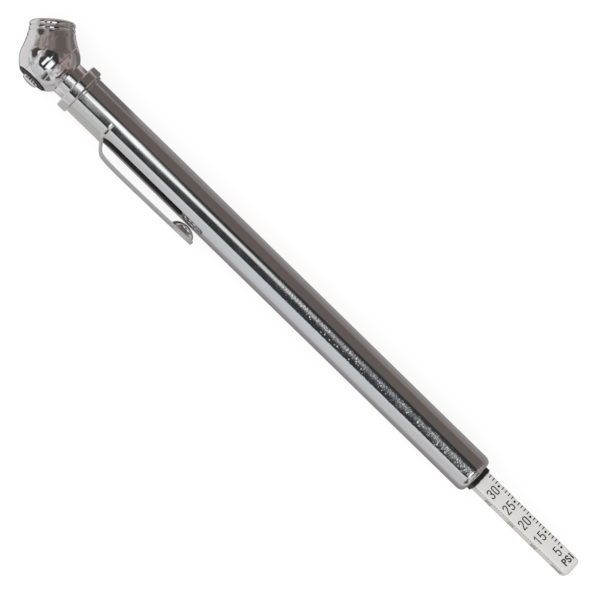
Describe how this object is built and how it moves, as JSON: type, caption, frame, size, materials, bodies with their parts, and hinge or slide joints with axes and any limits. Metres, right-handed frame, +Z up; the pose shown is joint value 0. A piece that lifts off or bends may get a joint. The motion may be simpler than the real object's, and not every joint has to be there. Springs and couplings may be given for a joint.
{
  "type": "tire pressure gauge",
  "caption": "Pencil tyre pressure gauge: chromed barrel, angled ball chuck, pocket clip, and a square scale bar that slides out of the tail to show the pressure.",
  "frame": {"origin": "middle of the underside of the gauge's box as it lies on its ball head, with the scale bar out at a reading of about 33 psi", "axes": "+X along the barrel from the head to the tail, +Y to the side that the nozzle leans to, away from the pocket clip, +Z up"},
  "size_m": [0.1828, 0.0186, 0.0148],
  "materials": {
    "head_chrome": "bright chrome on a die casting",
    "barrel_chrome": "bright chrome on a drawn tube, fine pits",
    "clip_chrome": "bright chrome on spring steel",
    "seal_rubber": "matt black",
    "inner_brass": "turned",
    "spring_steel": "drawn wire and stampings",
    "black_plastic": "moulded, slight sheen",
    "white_nylon": "moulded, satin, printed scale"
  },
  "bodies": {
    "housing": {"chuck_head": "head_chrome", "nozzle_seal": "seal_rubber", "depressor_plate": "inner_brass", "depressor_pin": "inner_brass", "deflator_stud": "head_chrome", "deflator_washer": "seal_rubber", "stem_collar": "head_chrome", "barrel_gasket": "seal_rubber", "barrel": "barrel_chrome", "pocket_clip_band": "clip_chrome", "end_bush": "black_plastic", "drag_ring": "seal_rubber", "spring_seat": "spring_steel", "main_spring": "spring_steel"},
    "clip_arm": {"pocket_clip_arm": "clip_chrome"},
    "piston": {"piston_screw": "spring_steel", "cup_spreader": "inner_brass", "piston_cup": "seal_rubber", "piston_body": "inner_brass"},
    "indicator": {"indicator_bar": "white_nylon", "indicator_foot": "inner_brass"}
  },
  "joints": [
    {"name": "indicator_slide", "type": "slide", "parent": "housing", "child": "indicator", "axis": [1, 0, 0], "range_m": [-0.0296, 0.0171]},
    {"name": "piston_slide", "type": "slide", "parent": "housing", "child": "piston", "axis": [1, 0, 0], "range_m": [-0.0296, 0.0171], "deforming": ["main_spring"]},
    {"name": "clip_flex", "type": "hinge", "parent": "housing", "child": "clip_arm", "pos_m": [-0.05965, -0.00654, 0.0074], "axis": [0, 0, -1], "range_deg": [0, 4], "stiffness_Nm_per_rad": 0.5, "springref_deg": -2.01}
  ],
  "couplings": [
    {"joint": "piston_slide", "follows": "indicator_slide", "ratio": 1}
  ]
}
